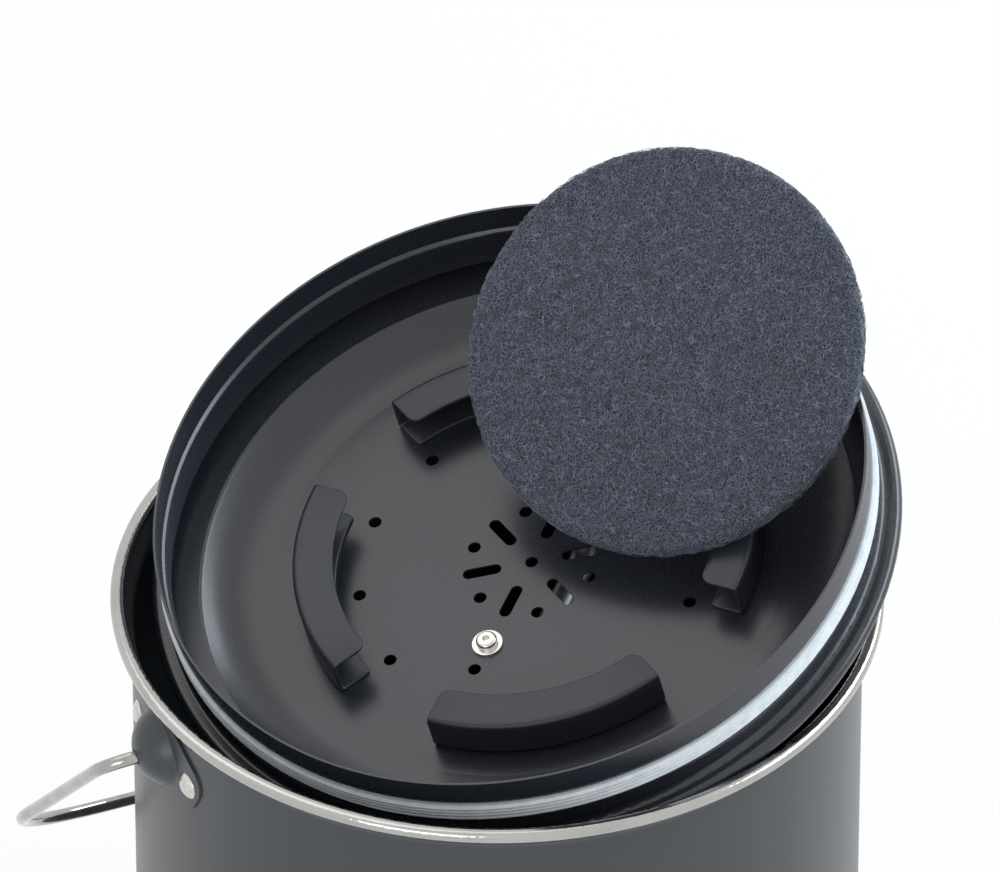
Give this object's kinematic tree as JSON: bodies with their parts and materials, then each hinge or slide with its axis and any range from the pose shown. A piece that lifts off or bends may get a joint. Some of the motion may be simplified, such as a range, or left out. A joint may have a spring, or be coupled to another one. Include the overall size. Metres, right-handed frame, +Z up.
{
  "type": "compost bin",
  "caption": "Round coated steel kitchen compost bin with a wire handle, an upturned vented lid with a silicone seal and filter clips, and a charcoal felt filter leaning in it.",
  "frame": {"origin": "centre of the bin's base, on the surface it stands on", "axes": "+Z up, X along the pivots of the wire handle with the pictured ear at -X, and the wire handle hangs towards +Y"},
  "size_m": [0.2804, 0.2539, 0.3418],
  "materials": {
    "bin_coat": "satin gunmetal coat with a soft metallic sheen",
    "lid_coat": "satin dark grey coat",
    "clip_coat": "near-black matte coat",
    "bare_steel": "bare polished steel",
    "wire_steel": "polished stainless wire",
    "silicone": "pale translucent silicone",
    "felt": "mottled charcoal felt"
  },
  "bodies": {
    "bin": {"bin_body": "bin_coat", "rim_trim": "bare_steel", "ear_left": "bin_coat", "ear_right": "bin_coat", "ear_left_rivet_front": "bare_steel", "ear_left_rivet_back": "bare_steel", "ear_right_rivet_front": "bare_steel", "ear_right_rivet_back": "bare_steel"},
    "bail": {"bail_wire": "wire_steel"},
    "lid": {"lid_shell": "lid_coat", "lid_seal": "silicone", "lid_handle": "bare_steel", "handle_screw_far": "bare_steel", "handle_screw_near": "bare_steel", "handle_washer_far": "bare_steel", "handle_washer_near": "bare_steel", "filter_clip_right": "clip_coat", "filter_clip_back": "clip_coat", "filter_clip_left": "clip_coat", "filter_clip_front": "clip_coat"},
    "filter": {"filter_pad": "felt"}
  },
  "joints": [
    {"name": "bail_swing", "type": "hinge", "parent": "bin", "child": "bail", "pos_m": [0, 0, 0.2015], "axis": [1, 0, 0], "range_deg": [0, 272]},
    {"name": "lid_lift", "type": "slide", "parent": "bin", "child": "lid", "axis": [0, 0, 1], "range_m": [0, 0.15]},
    {"name": "filter_lift", "type": "slide", "parent": "lid", "child": "filter", "axis": [0.5536, 0.4499, 0.7008], "range_m": [0, 0.12]}
  ]
}
